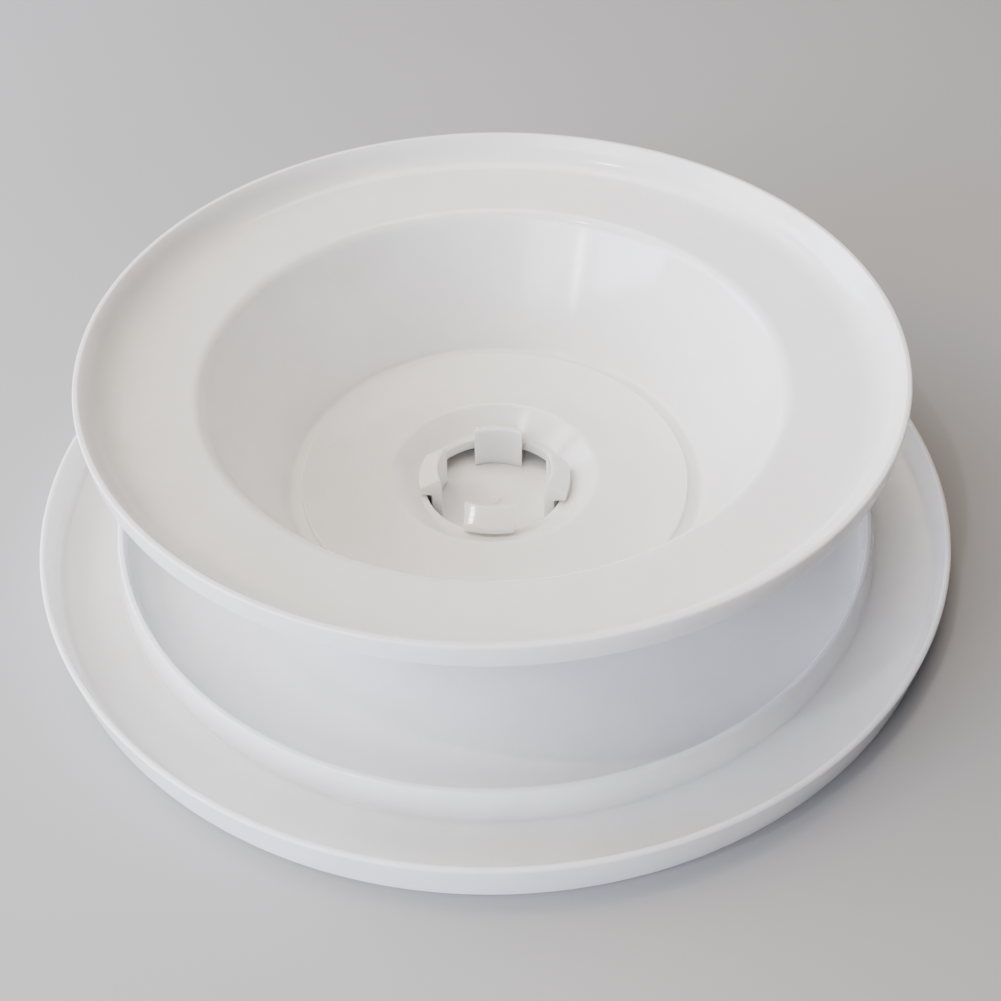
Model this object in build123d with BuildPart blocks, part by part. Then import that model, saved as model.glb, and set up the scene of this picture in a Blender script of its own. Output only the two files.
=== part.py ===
"""Cake turntable, standing upside down: the plate lies on the table and the hollow foot points up.

Millimetres. The turning axis is Z, and z = 0 is the table under the plate. Every round piece is a
section in the XZ plane, drawn as corners (radius, height, corner rounding) and turned about Z.
"""

from build123d import *
import os
from math import hypot

# ---- driving dimensions ----
PLATE_DIAMETER = 280.0
PLATE_SHEET = 2.6
SKIRT_HEIGHT = 13.5
FOOT_HEIGHT = 69.6
WALL = 2.4

# ---- plate: flat sheet, leaning skirt at its edge and one upright circular rib ----
PLATE_RADIUS = PLATE_DIAMETER / 2
SKIRT_LEAN = 1.5
SKIRT_WALL = 1.7
RIB_INNER = 115.5
RIB_WALL = 1.6
RIB_INNER_DRAFT = 0.3
RIB_OUTER_DRAFT = 1.9
RIB_TOP = 12.4
GATE_RADIUS = 1.6
GATE_HEIGHT = 0.5
GUIDE_RINGS = (50.0, 75.0, 100.0, 125.0)
GUIDE_RING_WIDTH = 0.8
GUIDE_RING_DEPTH = 0.4

# ---- ball bearing: steel balls in a cage between two grooved tracks ----
BALL_DIAMETER = 6.0
BALL_COUNT = 24
TRACK_RADIUS = 46.0
TRACK_HALF_WIDTH = 5.5
GROOVE_RADIUS = 3.2
BALL_Z = 10.2
PLATE_TRACK_TOP = 8.0
FOOT_TRACK_UNDERSIDE = 12.4
CAGE_HALF_WIDTH = 4.6
CAGE_THICKNESS = 2.0
POCKET_RADIUS = 3.2

# ---- foot, from its centre outwards: collar, dimple, raised disc, groove, cone, face, lip, rim ----
HOLE_RADIUS = 22.0
COLLAR_RADIUS = 24.3
COLLAR_Z = 10.1
COLLAR_DEPTH = 3.8
DIMPLE_RADIUS = 32.5
DISC_RADIUS = 60.5
DISC_Z = 16.0
GROOVE_Z = 13.8
CONE_FOOT_RADIUS = 65.4
MOUTH_RADIUS = 84.6
MOUTH_Z = 57.0
FACE_RADIUS = 111.0
FACE_Z = 61.4
LIP_RADIUS = 117.4
LIP_LAND = 1.6
RIM_RADIUS = 116.9
RIM_INNER = 113.9
RIM_UNDERSIDE = 62.2

# ---- snap claws of the plate, whose hooks hold the collar of the foot ----
CLAW_COUNT = 4
CLAW_TURN = -5.0
CLAW_WIDTH = 15.4
CLAW_INNER = 17.8
CLAW_RIDGE = 18.7
CLAW_SHANK = 20.6
CLAW_TOP = 17.2
HOOK_RADIUS = 24.0
HOOK_SHOULDER = 13.6
HOOK_UNDERSIDE = 10.8


def beside(start, end, gap):
    """The straight line start-end, moved to its right-hand side by the gap."""
    run, rise = end[0] - start[0], end[1] - start[1]
    length = hypot(run, rise)
    shift = (rise * gap / length, -run * gap / length)
    return tuple((r + shift[0], z + shift[1]) for r, z in (start[:2], end[:2]))


def meeting(first, second):
    """The point where two straight lines, each given by two points, cross."""
    (r1, z1), (r2, z2) = first
    (r3, z3), (r4, z4) = second
    across = (r1 - r2) * (z3 - z4) - (z1 - z2) * (r3 - r4)
    along = ((r1 - r3) * (z3 - z4) - (z1 - z3) * (r3 - r4)) / across
    return r1 + along * (r2 - r1), z1 + along * (z2 - z1)


def turns_left(before, corner, after):
    """Whether a path bends to the left at a corner."""
    first = (corner[0] - before[0], corner[1] - before[1])
    second = (after[0] - corner[0], after[1] - corner[1])
    return first[0] * second[1] - first[1] * second[0] > 0


def parallel(path, gap):
    """The inner corners of a path, moved to its right-hand side, with their roundings kept concentric."""
    moved = []
    for before, corner, after in zip(path, path[1:], path[2:]):
        place = meeting(beside(before, corner, gap), beside(corner, after, gap))
        rounding = corner[2] + gap if turns_left(before, corner, after) else max(corner[2] - gap, 0)
        moved.append((*place, rounding))
    return moved


def places(corners):
    """The (radius, height) part of a section's corners."""
    return [corner[:2] for corner in corners]


def roundings(corners):
    """The rounding radii of a section's corners."""
    return [corner[2] for corner in corners]


def save(part, name):
    """Label one finished piece and write its own STEP file."""
    part.label = name
    export_step(part, f"parts/{name}.step")


os.makedirs("parts", exist_ok=True)
track_outer = TRACK_RADIUS + TRACK_HALF_WIDTH
track_inner = TRACK_RADIUS - TRACK_HALF_WIDTH

# ---- snap claws: a hooked ring, cut to parallel-sided claws ----
claw_section = [
    (CLAW_INNER, PLATE_SHEET / 2, 0),
    (CLAW_SHANK, PLATE_SHEET / 2, 0),
    (CLAW_SHANK, HOOK_UNDERSIDE, 0.4),
    (HOOK_RADIUS, HOOK_UNDERSIDE, 0.4),
    (HOOK_RADIUS, HOOK_SHOULDER, 0.8),
    (CLAW_RIDGE, CLAW_TOP, 0.5),
    (CLAW_INNER, CLAW_TOP, 0),
]

with BuildPart() as claws:
    with BuildSketch(Plane.XZ):
        with BuildLine():
            FilletPolyline(*places(claw_section), radius=roundings(claw_section), close=True)
        make_face()
    revolve(axis=Axis.Z)
    with BuildSketch(Plane.XY):
        with PolarLocations(0, CLAW_COUNT // 2, CLAW_TURN, 180):
            Rectangle(3 * HOOK_RADIUS, CLAW_WIDTH)
    extrude(amount=2 * CLAW_TOP, mode=Mode.INTERSECT)

# ---- turntable plate: sheet, skirt, rib, bearing track, gate mark and claws in one moulding ----
sheet_edge = PLATE_RADIUS - SKIRT_LEAN
rib_outer = RIB_INNER + RIB_WALL
plate_section = [
    (0, 0, 0),
    (sheet_edge, 0, 1.2),
    (PLATE_RADIUS, SKIRT_HEIGHT, 0.7),
    (PLATE_RADIUS - SKIRT_WALL, SKIRT_HEIGHT, 0.6),
    (sheet_edge - SKIRT_WALL, PLATE_SHEET, 2.0),
    (rib_outer + RIB_OUTER_DRAFT, PLATE_SHEET, 0.8),
    (rib_outer, RIB_TOP, 0.6),
    (RIB_INNER, RIB_TOP, 0.3),
    (RIB_INNER - RIB_INNER_DRAFT, PLATE_SHEET, 1.2),
    (track_outer, PLATE_SHEET, 1.0),
    (track_outer, PLATE_TRACK_TOP, 0.5),
    (track_inner, PLATE_TRACK_TOP, 0.5),
    (track_inner, PLATE_SHEET, 1.0),
    (0, PLATE_SHEET, 0),
]

with BuildPart() as turntable_plate:
    with BuildSketch(Plane.XZ):
        with BuildLine():
            FilletPolyline(*places(plate_section), radius=roundings(plate_section), close=True)
        make_face()
    revolve(axis=Axis.Z)
    with BuildSketch(Plane.XZ):
        with Locations((TRACK_RADIUS, BALL_Z)):
            Circle(GROOVE_RADIUS)
        with Locations(*[(radius, 0) for radius in GUIDE_RINGS]):
            Rectangle(GUIDE_RING_WIDTH, 2 * GUIDE_RING_DEPTH)
    revolve(axis=Axis.Z, mode=Mode.SUBTRACT)
    with BuildSketch(Plane.XY.offset(PLATE_SHEET)):
        Circle(GATE_RADIUS)
    extrude(amount=GATE_HEIGHT)
    add(claws.part)
save(turntable_plate.part, "turntable_plate")

# ---- foot: one shell of even wall, so its hidden side runs parallel to its open side ----
lip_corner = (LIP_RADIUS - LIP_LAND, FOOT_HEIGHT, 0.4)
open_side = [
    (HOLE_RADIUS, COLLAR_Z, 0.4),
    (COLLAR_RADIUS, COLLAR_Z, 1.0),
    (DIMPLE_RADIUS, DISC_Z, 3.5),
    (DISC_RADIUS, DISC_Z, 0.5),
    (DISC_RADIUS, GROOVE_Z, 0.4),
    (CONE_FOOT_RADIUS, GROOVE_Z, 2.5),
    (MOUTH_RADIUS, MOUTH_Z, 5.0),
    (FACE_RADIUS, FACE_Z, 11.0),
    lip_corner,
]
hidden_side = parallel(open_side[:-1], WALL)
collar_root, dimple_root, disc_edge, groove_edge, cone_root, mouth_root = hidden_side
hidden_face = beside(open_side[-3], open_side[-2], WALL)
rim_root = meeting(hidden_face, ((RIM_INNER, RIM_UNDERSIDE), (RIM_INNER - 1, RIM_UNDERSIDE - 1)))
collar_outer = HOLE_RADIUS + WALL
collar_end = COLLAR_Z - COLLAR_DEPTH
foot_section = [
    (HOLE_RADIUS, collar_end, 0.4),
    *open_side,
    (LIP_RADIUS, FOOT_HEIGHT, 0.5),
    (RIM_RADIUS, RIM_UNDERSIDE, 0.5),
    (RIM_INNER, RIM_UNDERSIDE, 0.4),
    (*rim_root, 13.0),
    mouth_root,
    cone_root,
    (*groove_edge[:2], 0.4),
    (*disc_edge[:2], 0.4),
    (track_outer, disc_edge[1], 0),
    (track_outer, FOOT_TRACK_UNDERSIDE, 0.3),
    (track_inner, FOOT_TRACK_UNDERSIDE, 0.3),
    (track_inner, dimple_root[1], 0),
    dimple_root,
    (*collar_root[:2], 0.3),
    (collar_outer, collar_root[1], 0),
    (collar_outer, collar_end, 0.4),
]

with BuildPart() as foot_base:
    with BuildSketch(Plane.XZ):
        with BuildLine():
            FilletPolyline(*places(foot_section), radius=roundings(foot_section), close=True)
        make_face()
    revolve(axis=Axis.Z)
    with BuildSketch(Plane.XZ):
        with Locations((TRACK_RADIUS, BALL_Z)):
            Circle(GROOVE_RADIUS)
    revolve(axis=Axis.Z, mode=Mode.SUBTRACT)
save(foot_base.part, "foot_base")

# ---- ball cage: a flat ring with one round pocket for each ball ----
with BuildPart() as ball_cage:
    with BuildSketch(Plane.XY.offset(BALL_Z - CAGE_THICKNESS / 2)):
        Circle(TRACK_RADIUS + CAGE_HALF_WIDTH)
        Circle(TRACK_RADIUS - CAGE_HALF_WIDTH, mode=Mode.SUBTRACT)
        with PolarLocations(TRACK_RADIUS, BALL_COUNT):
            Circle(POCKET_RADIUS, mode=Mode.SUBTRACT)
    extrude(amount=CAGE_THICKNESS)
save(ball_cage.part, "ball_cage")

# ---- balls: one node each, evenly round the track ----
for number in range(BALL_COUNT):
    with BuildPart(Plane.XY.offset(BALL_Z)) as ball:
        with PolarLocations(TRACK_RADIUS, 1, number * 360 / BALL_COUNT):
            Sphere(BALL_DIAMETER / 2)
    save(ball.part, f"ball_{number + 1:02d}")
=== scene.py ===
"""Looks of a white plastic cake turntable that stands upside down on its plate, foot up.

The object's sizes are in millimetres and become metres through MM; lights, floor and materials are in
metres. Round pieces are lathe meshes: a section of corners (radius, height, rounding) is drawn as a
line with arcs at its roundings and turned about the Z axis.
"""

from math import acos, atan2, ceil, cos, hypot, pi, radians, sin, sqrt, tan

import bmesh
import bpy
from mathutils import Matrix, Vector


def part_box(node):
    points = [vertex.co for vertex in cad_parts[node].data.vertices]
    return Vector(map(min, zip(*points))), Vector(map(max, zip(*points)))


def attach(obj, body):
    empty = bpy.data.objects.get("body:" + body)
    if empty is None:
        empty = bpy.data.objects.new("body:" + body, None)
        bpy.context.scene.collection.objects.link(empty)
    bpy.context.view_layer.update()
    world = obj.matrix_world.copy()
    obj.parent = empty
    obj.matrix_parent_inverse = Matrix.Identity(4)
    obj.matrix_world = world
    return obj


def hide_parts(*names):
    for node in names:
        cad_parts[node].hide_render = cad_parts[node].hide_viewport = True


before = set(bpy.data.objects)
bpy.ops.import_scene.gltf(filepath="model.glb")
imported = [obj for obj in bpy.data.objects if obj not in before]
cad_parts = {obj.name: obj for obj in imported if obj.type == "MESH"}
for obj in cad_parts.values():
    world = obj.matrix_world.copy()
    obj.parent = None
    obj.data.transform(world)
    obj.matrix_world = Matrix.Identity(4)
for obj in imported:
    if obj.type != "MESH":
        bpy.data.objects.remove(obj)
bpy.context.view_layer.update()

MM = 0.001


# ---------------------------------------------------------------- sizes from the frame

plate_low, plate_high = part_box("turntable_plate")
foot_low, foot_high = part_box("foot_base")
cage_low, cage_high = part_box("ball_cage")

PLATE_RADIUS = 140.0
FOOT_HEIGHT = foot_high.z / MM
COLLAR_END = foot_low.z / MM
CLAW_TOP = plate_high.z / MM
BALL_Z = (cage_low.z + cage_high.z) / 2 / MM
WALL = 2.4

# Plate: sheet, skirt and rib.
PLATE_SHEET = 2.6
SKIRT_HEIGHT = 13.5
SKIRT_LEAN = 1.5
SKIRT_WALL = 1.7
RIB_INNER = 115.5
RIB_WALL = 1.6
RIB_INNER_DRAFT = 0.3
RIB_OUTER_DRAFT = 1.9
RIB_TOP = 12.4
GUIDE_RINGS = (50.0, 75.0, 100.0, 125.0)
GUIDE_RING_WIDTH = 0.8
GUIDE_RING_DEPTH = 0.4
GUIDE_RING_ROUNDING = 0.12

# Gate mark at the plate's centre: a low round stub with a dimpled top.
GATE_RADIUS = 1.6
GATE_HEIGHT = 0.5
GATE_DRAFT = 0.2
GATE_DIMPLE = 0.2

# Bearing tracks on both mouldings.
TRACK_RADIUS = 46.0
TRACK_HALF_WIDTH = 5.5
GROOVE_RADIUS = 3.2
GROOVE_STEPS = 12
PLATE_TRACK_TOP = 8.0
FOOT_TRACK_UNDERSIDE = 12.4

# Foot, from its centre outwards.
HOLE_RADIUS = 22.0
COLLAR_RADIUS = 24.3
COLLAR_Z = 10.1
DIMPLE_RADIUS = 32.5
DISC_RADIUS = 60.5
DISC_Z = 16.0
GROOVE_Z = 13.8
CONE_FOOT_RADIUS = 65.4
MOUTH_RADIUS = 84.6
MOUTH_Z = 57.0
FACE_RADIUS = 111.0
FACE_Z = 61.4
LIP_RADIUS = 117.4
LIP_LAND = 1.6
RIM_RADIUS = 116.9
RIM_INNER = 113.9
RIM_UNDERSIDE = 62.2

# Claws, whose edges are a little softer than in the CAD.
CLAW_COUNT = 4
CLAW_TURN = -5.0
CLAW_WIDTH = 15.4
CLAW_INNER = 17.8
CLAW_RIDGE = 18.7
CLAW_SHANK = 20.6
HOOK_RADIUS = 24.0
HOOK_SHOULDER = 13.6
HOOK_UNDERSIDE = 10.8
CLAW_STEPS = 16
CLAW_BEVEL = 0.45


# ---------------------------------------------------------------- lathe sections

# An arc has a point every ARC_STEP, or every TINY_ARC_STEP where its radius is tiny. A straight stretch has
# a support loop near each end, and is cut again so that no part is longer than LONGEST_STRETCH.
ARC_STEP = radians(7.5)
TINY_ROUNDING = 0.15
TINY_ARC_STEP = radians(30)
SLIGHTEST_BEND = 1e-3
SUPPORT = 0.25
LONGEST_STRETCH = 10.0
TURNS = 288
NEAR_AXIS = 1e-6
SHARP_ANGLE = radians(35)


def turned(point, angle):
    """A flat point, turned about the origin."""
    return Vector((
        point.x * cos(angle) - point.y * sin(angle),
        point.x * sin(angle) + point.y * cos(angle),
    ))


def arc_through(before, corner, after):
    """Points of the rounding at a corner, from one tangent point to the other."""
    place, rounding = Vector(corner[:2]), corner[2]
    to_before = (Vector(before[:2]) - place).normalized()
    to_after = (Vector(after[:2]) - place).normalized()
    opening = acos(max(-1.0, min(1.0, to_before.dot(to_after))))
    sweep = pi - opening
    if rounding <= 0 or sweep < SLIGHTEST_BEND:
        return [place]
    tangent = rounding / tan(opening / 2)
    centre = place + (to_before + to_after).normalized() * (rounding / sin(opening / 2))
    start = place + to_before * tangent - centre
    side = 1 if to_before.x * to_after.y - to_before.y * to_after.x < 0 else -1
    arc_step = ARC_STEP if rounding > TINY_ROUNDING else TINY_ARC_STEP
    steps = max(2, ceil(sweep / arc_step))
    return [centre + turned(start, side * sweep * step / steps) for step in range(steps + 1)]


def straight(start, end):
    """Points between two ends, without the ends: a support loop near each and even steps between."""
    length = (end - start).length
    if length < 3 * SUPPORT:
        return []
    unit = (end - start) / length
    inner = length - 2 * SUPPORT
    steps = max(1, ceil(inner / LONGEST_STRETCH))
    return [start + unit * (SUPPORT + inner * step / steps) for step in range(steps + 1)]


def outline(corners, closed=True):
    """The whole line of a section, with its roundings and support loops."""
    count = len(corners)
    arcs = []
    for index, corner in enumerate(corners):
        if not closed and index in (0, count - 1):
            arcs.append([Vector(corner[:2])])
        else:
            arcs.append(arc_through(corners[index - 1], corner, corners[(index + 1) % count]))
    line = []
    for index, arc in enumerate(arcs):
        line += arc
        if closed or index < count - 1:
            line += straight(arc[-1], arcs[(index + 1) % count][0])
    return line


def finish_mesh(bm, name):
    """Turn a bmesh into a linked object, in metres, smooth except at sharp corners."""
    bmesh.ops.recalc_face_normals(bm, faces=bm.faces)
    mesh = bpy.data.meshes.new(name)
    bm.to_mesh(mesh)
    bm.free()
    mesh.transform(Matrix.Scale(MM, 4))
    mesh.shade_smooth()
    mesh.set_sharp_from_angle(angle=SHARP_ANGLE)
    obj = bpy.data.objects.new(name, mesh)
    bpy.context.collection.objects.link(obj)
    return obj


def lathe(name, line, closed=True):
    """Turn a line of (radius, height) points about Z. An open line has its two ends on the axis."""
    bm = bmesh.new()
    angles = [2 * pi * turn / TURNS for turn in range(TURNS)]
    rings = []
    for point in line:
        if point.x < NEAR_AXIS:
            rings.append([bm.verts.new((0, 0, point.y))])
        else:
            rings.append([bm.verts.new((point.x * cos(a), point.x * sin(a), point.y)) for a in angles])
    pairs = list(zip(rings, rings[1:]))
    if closed:
        pairs.append((rings[-1], rings[0]))
    for lower, upper in pairs:
        for turn in range(TURNS):
            following = (turn + 1) % TURNS
            quad = [lower[turn % len(lower)], lower[following % len(lower)]]
            quad += [upper[following % len(upper)], upper[turn % len(upper)]]
            corners = list(dict.fromkeys(quad))
            if len(corners) > 2:
                bm.faces.new(corners)
    return finish_mesh(bm, name)


# ---------------------------------------------------------------- parallel walls, as in the CAD

def beside(start, end, gap):
    """The straight line start-end, moved to its right-hand side by the gap."""
    run, rise = end[0] - start[0], end[1] - start[1]
    length = hypot(run, rise)
    shift = (rise * gap / length, -run * gap / length)
    return tuple((r + shift[0], z + shift[1]) for r, z in (start[:2], end[:2]))


def meeting(first, second):
    """The point where two straight lines, each given by two points, cross."""
    (r1, z1), (r2, z2) = first
    (r3, z3), (r4, z4) = second
    across = (r1 - r2) * (z3 - z4) - (z1 - z2) * (r3 - r4)
    along = ((r1 - r3) * (z3 - z4) - (z1 - z3) * (r3 - r4)) / across
    return r1 + along * (r2 - r1), z1 + along * (z2 - z1)


def turns_left(before, corner, after):
    """Whether a path bends to the left at a corner."""
    first = (corner[0] - before[0], corner[1] - before[1])
    second = (after[0] - corner[0], after[1] - corner[1])
    return first[0] * second[1] - first[1] * second[0] > 0


def parallel(path, gap):
    """The inner corners of a path, moved to its right-hand side, with concentric roundings."""
    moved = []
    for before, corner, after in zip(path, path[1:], path[2:]):
        place = meeting(beside(before, corner, gap), beside(corner, after, gap))
        rounding = corner[2] + gap if turns_left(before, corner, after) else max(corner[2] - gap, 0)
        moved.append((*place, rounding))
    return moved


def track_groove(top):
    """Corners of a ball groove, cut as an arc into a boss whose flat is at the given height."""
    half_width = sqrt(GROOVE_RADIUS ** 2 - (BALL_Z - top) ** 2)
    towards = 1 if top > BALL_Z else -1
    start = atan2((top - BALL_Z) * towards, half_width)
    arc = []
    for step in range(GROOVE_STEPS + 1):
        angle = start + (pi - 2 * start) * step / GROOVE_STEPS
        radius = TRACK_RADIUS + GROOVE_RADIUS * cos(angle)
        height = BALL_Z + towards * GROOVE_RADIUS * sin(angle)
        arc.append((radius, height, 0))
    return arc


# ---------------------------------------------------------------- plate

def plate_section():
    """Half section of the plate, from the axis on its flat face round to the axis on its ribbed side."""
    edge = PLATE_RADIUS - SKIRT_LEAN
    rib_outer = RIB_INNER + RIB_WALL
    track_outer = TRACK_RADIUS + TRACK_HALF_WIDTH
    track_inner = TRACK_RADIUS - TRACK_HALF_WIDTH
    gate_top = PLATE_SHEET + GATE_HEIGHT
    corners = [(0, 0, 0)]
    for radius in GUIDE_RINGS:
        inner, outer = radius - GUIDE_RING_WIDTH / 2, radius + GUIDE_RING_WIDTH / 2
        ring = ((inner, 0), (inner, GUIDE_RING_DEPTH), (outer, GUIDE_RING_DEPTH), (outer, 0))
        corners += [(*place, GUIDE_RING_ROUNDING) for place in ring]
    corners += [
        (edge, 0, 1.2),
        (PLATE_RADIUS, SKIRT_HEIGHT, 0.7),
        (PLATE_RADIUS - SKIRT_WALL, SKIRT_HEIGHT, 0.6),
        (edge - SKIRT_WALL, PLATE_SHEET, 2.0),
        (rib_outer + RIB_OUTER_DRAFT, PLATE_SHEET, 0.8),
        (rib_outer, RIB_TOP, 0.6),
        (RIB_INNER, RIB_TOP, 0.3),
        (RIB_INNER - RIB_INNER_DRAFT, PLATE_SHEET, 1.2),
        (track_outer, PLATE_SHEET, 1.0),
        (track_outer, PLATE_TRACK_TOP, 0.5),
        *track_groove(PLATE_TRACK_TOP),
        (track_inner, PLATE_TRACK_TOP, 0.5),
        (track_inner, PLATE_SHEET, 1.0),
        (GATE_RADIUS + GATE_DRAFT, PLATE_SHEET, 0.3),
        (GATE_RADIUS, gate_top, 0.2),
        (GATE_RADIUS / 2, gate_top - GATE_DIMPLE, 0.2),
        (0, gate_top - GATE_DIMPLE / 2, 0),
    ]
    return corners


def make_plate():
    """The plate's round body as one lathe mesh."""
    return lathe("plate_body", outline(plate_section(), closed=False), closed=False)


CLAW_SECTION = [
    (CLAW_INNER, PLATE_SHEET / 2, 0),
    (CLAW_SHANK, PLATE_SHEET / 2, 0),
    (CLAW_SHANK, HOOK_UNDERSIDE, 0.4),
    (HOOK_RADIUS, HOOK_UNDERSIDE, 0.4),
    (HOOK_RADIUS, HOOK_SHOULDER, 0.9),
    (CLAW_RIDGE, CLAW_TOP, 0.6),
    (CLAW_INNER, CLAW_TOP, 0.35),
]


def make_claw(number):
    """One snap claw: its section carried sideways along the circle, with softened side edges."""
    line = outline(CLAW_SECTION)
    bm = bmesh.new()
    slices = []
    for step in range(CLAW_STEPS + 1):
        aside = CLAW_WIDTH * (step / CLAW_STEPS - 0.5)
        slices.append([bm.verts.new((sqrt(p.x ** 2 - aside ** 2), aside, p.y)) for p in line])
    for near, far in zip(slices, slices[1:]):
        for index in range(len(line)):
            following = (index + 1) % len(line)
            bm.faces.new((near[index], near[following], far[following], far[index]))
    ends = [bm.faces.new(slices[0]), bm.faces.new(slices[-1])]
    side_edges = [edge for face in ends for edge in face.edges]
    bmesh.ops.bevel(bm, geom=side_edges, offset=CLAW_BEVEL, segments=3, profile=0.5, affect="EDGES")
    turn = radians(CLAW_TURN + number * 360 / CLAW_COUNT)
    bmesh.ops.rotate(bm, verts=bm.verts, matrix=Matrix.Rotation(turn, 3, "Z"))
    return finish_mesh(bm, f"claw_{number + 1}")


# ---------------------------------------------------------------- foot

def foot_section():
    """Closed section of the foot: its open side, its rim, and a hidden side parallel to the open one."""
    lip_corner = (LIP_RADIUS - LIP_LAND, FOOT_HEIGHT, 0.4)
    open_side = [
        (HOLE_RADIUS, COLLAR_Z, 0.4),
        (COLLAR_RADIUS, COLLAR_Z, 1.0),
        (DIMPLE_RADIUS, DISC_Z, 3.5),
        (DISC_RADIUS, DISC_Z, 0.5),
        (DISC_RADIUS, GROOVE_Z, 0.4),
        (CONE_FOOT_RADIUS, GROOVE_Z, 2.5),
        (MOUTH_RADIUS, MOUTH_Z, 5.0),
        (FACE_RADIUS, FACE_Z, 11.0),
        lip_corner,
    ]
    hidden_side = parallel(open_side[:-1], WALL)
    collar_root, dimple_root, disc_edge, groove_edge, cone_root, mouth_root = hidden_side
    hidden_face = beside(open_side[-3], open_side[-2], WALL)
    rim_root = meeting(hidden_face, ((RIM_INNER, RIM_UNDERSIDE), (RIM_INNER - 1, RIM_UNDERSIDE - 1)))
    collar_outer = HOLE_RADIUS + WALL
    track_outer = TRACK_RADIUS + TRACK_HALF_WIDTH
    track_inner = TRACK_RADIUS - TRACK_HALF_WIDTH
    return [
        (HOLE_RADIUS, COLLAR_END, 0.4),
        *open_side,
        (LIP_RADIUS, FOOT_HEIGHT, 0.5),
        (RIM_RADIUS, RIM_UNDERSIDE, 0.5),
        (RIM_INNER, RIM_UNDERSIDE, 0.4),
        (*rim_root, 13.0),
        mouth_root,
        cone_root,
        (*groove_edge[:2], 0.4),
        (*disc_edge[:2], 0.4),
        (track_outer, disc_edge[1], 0),
        (track_outer, FOOT_TRACK_UNDERSIDE, 0.3),
        *track_groove(FOOT_TRACK_UNDERSIDE),
        (track_inner, FOOT_TRACK_UNDERSIDE, 0.3),
        (track_inner, dimple_root[1], 0),
        dimple_root,
        (*collar_root[:2], 0.3),
        (collar_outer, collar_root[1], 0),
        (collar_outer, COLLAR_END, 0.4),
    ]


def make_foot():
    """The foot as one lathe mesh."""
    return lathe("foot_shell", outline(foot_section()))


# ---------------------------------------------------------------- materials

HAIRLINE_LEVEL = 0.62


def new_material(name):
    """A node material; returns it with its tree, its Principled shader and object coordinates."""
    material = bpy.data.materials.new(name)
    material.use_nodes = True
    tree = material.node_tree
    coordinates = tree.nodes.new("ShaderNodeTexCoord").outputs["Object"]
    return material, tree, tree.nodes["Principled BSDF"], coordinates


def drawn_out(tree, coordinates, scale, turn=0):
    """Coordinates scaled along Y, where under 1 draws a texture out, and then turned about Z in degrees."""
    mapping = tree.nodes.new("ShaderNodeMapping")
    mapping.inputs["Rotation"].default_value = (0, 0, radians(turn))
    mapping.inputs["Scale"].default_value = (1, scale, 1)
    tree.links.new(coordinates, mapping.inputs["Vector"])
    return mapping.outputs["Vector"]


def noise(tree, coordinates, scale, detail, roughness=0.5):
    """A noise texture, scaled per metre."""
    node = tree.nodes.new("ShaderNodeTexNoise")
    node.inputs["Scale"].default_value = scale
    node.inputs["Detail"].default_value = detail
    node.inputs["Roughness"].default_value = roughness
    tree.links.new(coordinates, node.inputs["Vector"])
    return node.outputs["Fac"]


def ramp(tree, value, low, high, low_colour, high_colour):
    """Map a value to a colour between two stops."""
    node = tree.nodes.new("ShaderNodeValToRGB")
    stops = node.color_ramp.elements
    stops[0].position, stops[0].color = low, (*low_colour, 1)
    stops[1].position, stops[1].color = high, (*high_colour, 1)
    tree.links.new(value, node.inputs["Fac"])
    return node.outputs["Color"]


def stretch_range(tree, value, low, high):
    """Map a value from 0 to 1 to a range."""
    node = tree.nodes.new("ShaderNodeMapRange")
    node.inputs["To Min"].default_value = low
    node.inputs["To Max"].default_value = high
    tree.links.new(value, node.inputs["Value"])
    return node.outputs["Result"]


def combine(tree, operation, first, second=0):
    """A math node on one or two values, each a number or a socket."""
    node = tree.nodes.new("ShaderNodeMath")
    node.operation = operation
    for index, value in enumerate((first, second)):
        if isinstance(value, (int, float)):
            node.inputs[index].default_value = value
        else:
            tree.links.new(value, node.inputs[index])
    return node.outputs["Value"]


def bump(tree, height, distance, normal=None):
    """A bump node of the given depth in metres, on top of another one's normal where it is given."""
    node = tree.nodes.new("ShaderNodeBump")
    node.inputs["Distance"].default_value = distance
    tree.links.new(height, node.inputs["Height"])
    if normal is not None:
        tree.links.new(normal, node.inputs["Normal"])
    return node.outputs["Normal"]


def hairlines(tree, coordinates, turn, scale, width):
    """Sparse thin scratches, 1 on a line and 0 beside it: one level line of a drawn-out noise."""
    value = noise(tree, drawn_out(tree, coordinates, 0.05, turn), scale, detail=0)
    distance = combine(tree, "ABSOLUTE", combine(tree, "SUBTRACT", value, HAIRLINE_LEVEL))
    beside_line = combine(tree, "MINIMUM", combine(tree, "DIVIDE", distance, width), 1)
    return combine(tree, "SUBTRACT", 1, beside_line)


def turning_rings(tree, coordinates, scale):
    """Fine rings round Z, left by the turned mould."""
    flat = tree.nodes.new("ShaderNodeVectorMath")
    flat.operation = "MULTIPLY"
    flat.inputs[1].default_value = (1, 1, 0)
    tree.links.new(coordinates, flat.inputs[0])
    radius = tree.nodes.new("ShaderNodeVectorMath")
    radius.operation = "LENGTH"
    tree.links.new(flat.outputs["Vector"], radius.inputs[0])
    node = tree.nodes.new("ShaderNodeTexNoise")
    node.noise_dimensions = "1D"
    node.inputs["Scale"].default_value = scale
    node.inputs["Detail"].default_value = 3
    tree.links.new(radius.outputs["Value"], node.inputs["W"])
    return node.outputs["Fac"]


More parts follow.
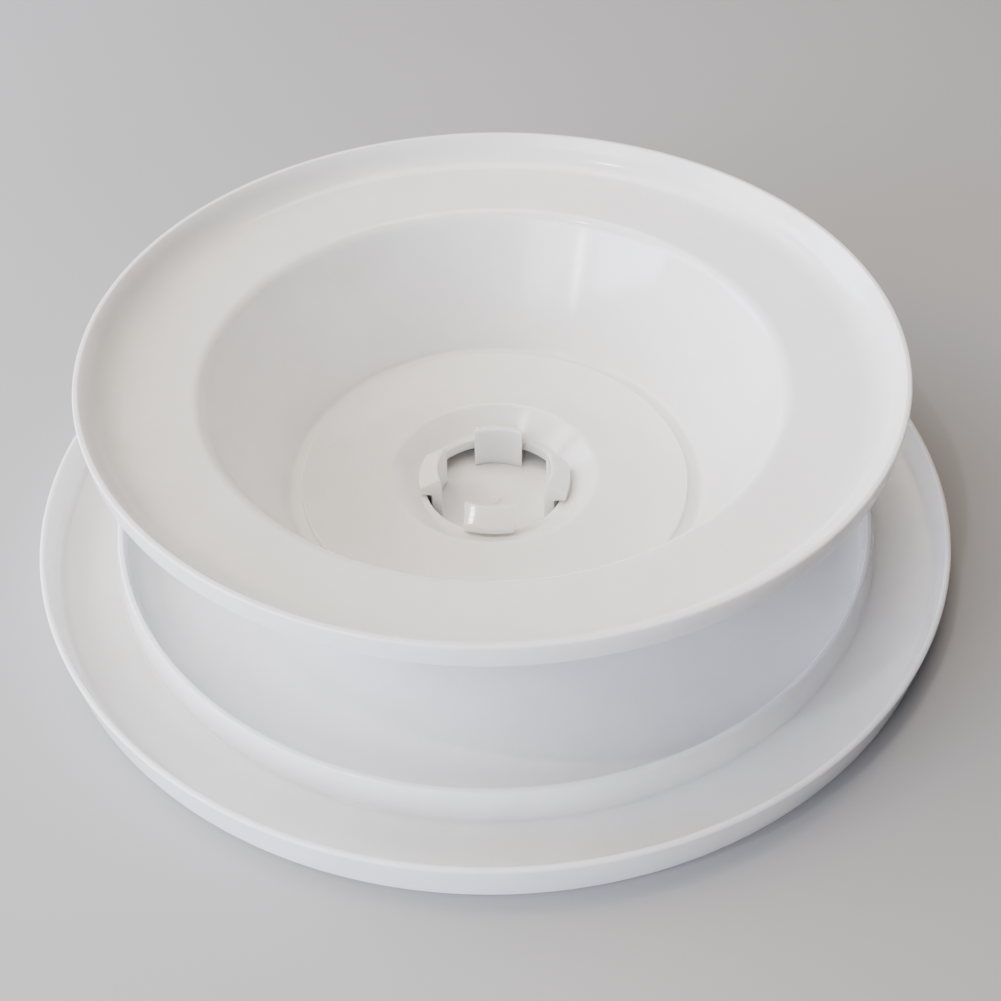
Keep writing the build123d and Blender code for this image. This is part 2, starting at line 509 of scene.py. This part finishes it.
def moulded_plastic(name, dark, light, roughness_low, roughness_high):
    """White injection-moulded plastic: faint mottle, mould rings, orange peel, smudges and hairlines."""
    material, tree, shader, coordinates = new_material(name)
    mottle = noise(tree, coordinates, 60, detail=6, roughness=0.65)
    tree.links.new(ramp(tree, mottle, 0.35, 0.65, dark, light), shader.inputs["Base Color"])
    smudges = noise(tree, coordinates, 28, detail=5, roughness=0.6)
    first = hairlines(tree, coordinates, 24, 260, 0.006)
    second = hairlines(tree, coordinates, 107, 220, 0.005)
    scratches = combine(tree, "MAXIMUM", first, second)
    marks = combine(tree, "ADD", smudges, combine(tree, "MULTIPLY", scratches, 0.4))
    tree.links.new(stretch_range(tree, marks, roughness_low, roughness_high), shader.inputs["Roughness"])
    waves = bump(tree, noise(tree, coordinates, 30, detail=1), 0.0001)
    rings = bump(tree, turning_rings(tree, coordinates, 1600), 0.000003, normal=waves)
    peel = bump(tree, noise(tree, coordinates, 900, detail=2), 0.000006, normal=rings)
    scored = bump(tree, combine(tree, "SUBTRACT", 1, scratches), 0.000003, normal=peel)
    tree.links.new(scored, shader.inputs["Normal"])
    shader.inputs["IOR"].default_value = 1.49
    shader.inputs["Subsurface Weight"].default_value = 1.0
    shader.inputs["Subsurface Radius"].default_value = (1.0, 0.95, 0.9)
    shader.inputs["Subsurface Scale"].default_value = 0.0016
    return material


def cage_plastic():
    """Natural milky plastic of the ball cage, duller than the mouldings."""
    material, tree, shader, coordinates = new_material("cage_plastic")
    cloud = noise(tree, coordinates, 120, detail=4)
    colour = ramp(tree, cloud, 0.3, 0.7, (0.62, 0.61, 0.57), (0.7, 0.69, 0.66))
    tree.links.new(colour, shader.inputs["Base Color"])
    tree.links.new(stretch_range(tree, cloud, 0.45, 0.65), shader.inputs["Roughness"])
    grain = noise(tree, coordinates, 1500, detail=3)
    tree.links.new(bump(tree, grain, 0.00003), shader.inputs["Normal"])
    return material


def polished_steel():
    """Bearing steel with faint polishing marks and a film of grease."""
    material, tree, shader, coordinates = new_material("polished_steel")
    film = noise(tree, coordinates, 500, detail=4)
    colour = ramp(tree, film, 0.3, 0.7, (0.5, 0.5, 0.51), (0.62, 0.62, 0.63))
    tree.links.new(colour, shader.inputs["Base Color"])
    tree.links.new(stretch_range(tree, film, 0.08, 0.22), shader.inputs["Roughness"])
    marks = noise(tree, drawn_out(tree, coordinates, 0.1), 4000, detail=2)
    tree.links.new(bump(tree, marks, 0.000003), shader.inputs["Normal"])
    shader.inputs["Metallic"].default_value = 1.0
    return material


def painted_floor():
    """Plain pale matt paint."""
    material, tree, shader, coordinates = new_material("pale_floor")
    cloud = noise(tree, coordinates, 3, detail=3)
    colour = ramp(tree, cloud, 0.3, 0.7, (0.36, 0.36, 0.362), (0.39, 0.39, 0.39))
    tree.links.new(colour, shader.inputs["Base Color"])
    shader.inputs["Roughness"].default_value = 0.7
    return material


# ---------------------------------------------------------------- studio

# Camera: its place in millimetres in front of the axis and above the table, its angles in degrees, and
# its lens and sensor in millimetres.
CAMERA_BACK = 300.9
CAMERA_UP = 290.3
CAMERA_PITCH = 43.75
CAMERA_YAW = 0.34
CAMERA_ROLL = -0.88
CAMERA_LENS = 46.45
SENSOR_WIDTH = 36

FLOOR_SIZE = 6.0
FLOOR_GAP = 0.0001
WORLD_COLOUR = (1.0, 0.97, 0.92)
WORLD_STRENGTH = 0.005

# Lamps on a dome round the object: name, azimuth and elevation in degrees, size, power in watts, colour.
# The softboxes give the soft light. The two small ones at the end give the glints on the lip and the hub,
# and the streak in the bowl.
DOME_RADIUS = 1.4
DOME_HEIGHT = 0.03
SOFTBOX = (0.7, 0.7)
LAMPS = (
    ("window_low", -60, 12, SOFTBOX, 29.5, (0.67, 0.75, 1.0)),
    ("window_front", -30, 22, SOFTBOX, 15, (0.88, 0.88, 1.0)),
    ("window_far", -120, 22, SOFTBOX, 20.5, (0.6, 0.69, 1.0)),
    ("window_high", -90, 35, SOFTBOX, 14.5, (1.0, 0.85, 0.62)),
    ("ceiling_side", -120, 60, SOFTBOX, 8.5, (1.0, 0.94, 0.8)),
    ("ceiling_back", 180, 75, SOFTBOX, 11.5, (1.0, 0.87, 0.75)),
    ("lamp", -52, 61, (0.03, 0.03), 3, (1.0, 0.98, 0.95)),
    ("window_gap", -38.5, 12, (0.02, 0.22), 2.2, (1.0, 1.0, 1.0)),
)


def add_camera():
    """The camera looks down at the turntable from the front."""
    data = bpy.data.cameras.new("camera")
    data.lens = CAMERA_LENS
    data.sensor_width = SENSOR_WIDTH
    data.clip_start = 0.01
    data.clip_end = 20
    camera = bpy.data.objects.new("camera", data)
    bpy.context.collection.objects.link(camera)
    place = Matrix.Translation(Vector((0, -CAMERA_BACK, CAMERA_UP)) * MM)
    yaw = Matrix.Rotation(radians(-CAMERA_YAW), 4, "Z")
    pitch = Matrix.Rotation(radians(90 - CAMERA_PITCH), 4, "X")
    roll = Matrix.Rotation(radians(CAMERA_ROLL), 4, "Z")
    camera.matrix_world = place @ (yaw @ pitch) @ roll
    bpy.context.scene.camera = camera


def add_on_dome(name, azimuth, elevation, size, power, colour):
    """An area lamp that faces the object; azimuth 0 is the front, and positive is to the right."""
    turn, rise = radians(azimuth), radians(elevation)
    direction = Vector((sin(turn) * cos(rise), -cos(turn) * cos(rise), sin(rise)))
    centre = Vector((0, 0, DOME_HEIGHT))
    position = centre + direction * DOME_RADIUS
    data = bpy.data.lights.new(name, "AREA")
    data.shape = "RECTANGLE"
    data.size, data.size_y = size
    data.energy = power
    data.color = colour
    lamp = bpy.data.objects.new(name, data)
    lamp.location = position
    lamp.rotation_euler = (centre - position).to_track_quat("-Z", "Y").to_euler()
    bpy.context.collection.objects.link(lamp)


def add_floor(material):
    """A plain floor, just under the plate."""
    bpy.ops.mesh.primitive_plane_add(size=FLOOR_SIZE, location=(0, 0, plate_low.z - FLOOR_GAP))
    floor = bpy.context.object
    floor.name = "floor"
    floor.data.materials.append(material)


def add_world():
    """Faint even light from all round."""
    world = bpy.data.worlds.new("studio")
    bpy.context.scene.world = world
    world.use_nodes = True
    background = world.node_tree.nodes["Background"]
    background.inputs["Color"].default_value = (*WORLD_COLOUR, 1)
    background.inputs["Strength"].default_value = WORLD_STRENGTH


# ---------------------------------------------------------------- build

plate_plastic = moulded_plastic("plate_plastic", (0.845, 0.845, 0.84), (0.885, 0.885, 0.88), 0.07, 0.2)
foot_plastic = moulded_plastic("foot_plastic", (0.875, 0.87, 0.855), (0.915, 0.91, 0.895), 0.07, 0.2)
cage_material = cage_plastic()
steel = polished_steel()
for node_name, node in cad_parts.items():
    node.data.materials.clear()
    node.data.materials.append(cage_material if node_name == "ball_cage" else steel)

plate_body = make_plate()
claws = [make_claw(number) for number in range(CLAW_COUNT)]
for piece in (plate_body, *claws):
    piece.data.materials.append(plate_plastic)
    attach(piece, "plate")
    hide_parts("turntable_plate")

foot_shell = make_foot()
foot_shell.data.materials.append(foot_plastic)
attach(foot_shell, "foot")
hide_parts("foot_base")

add_floor(painted_floor())
add_world()
for lamp in LAMPS:
    add_on_dome(*lamp)
add_camera()
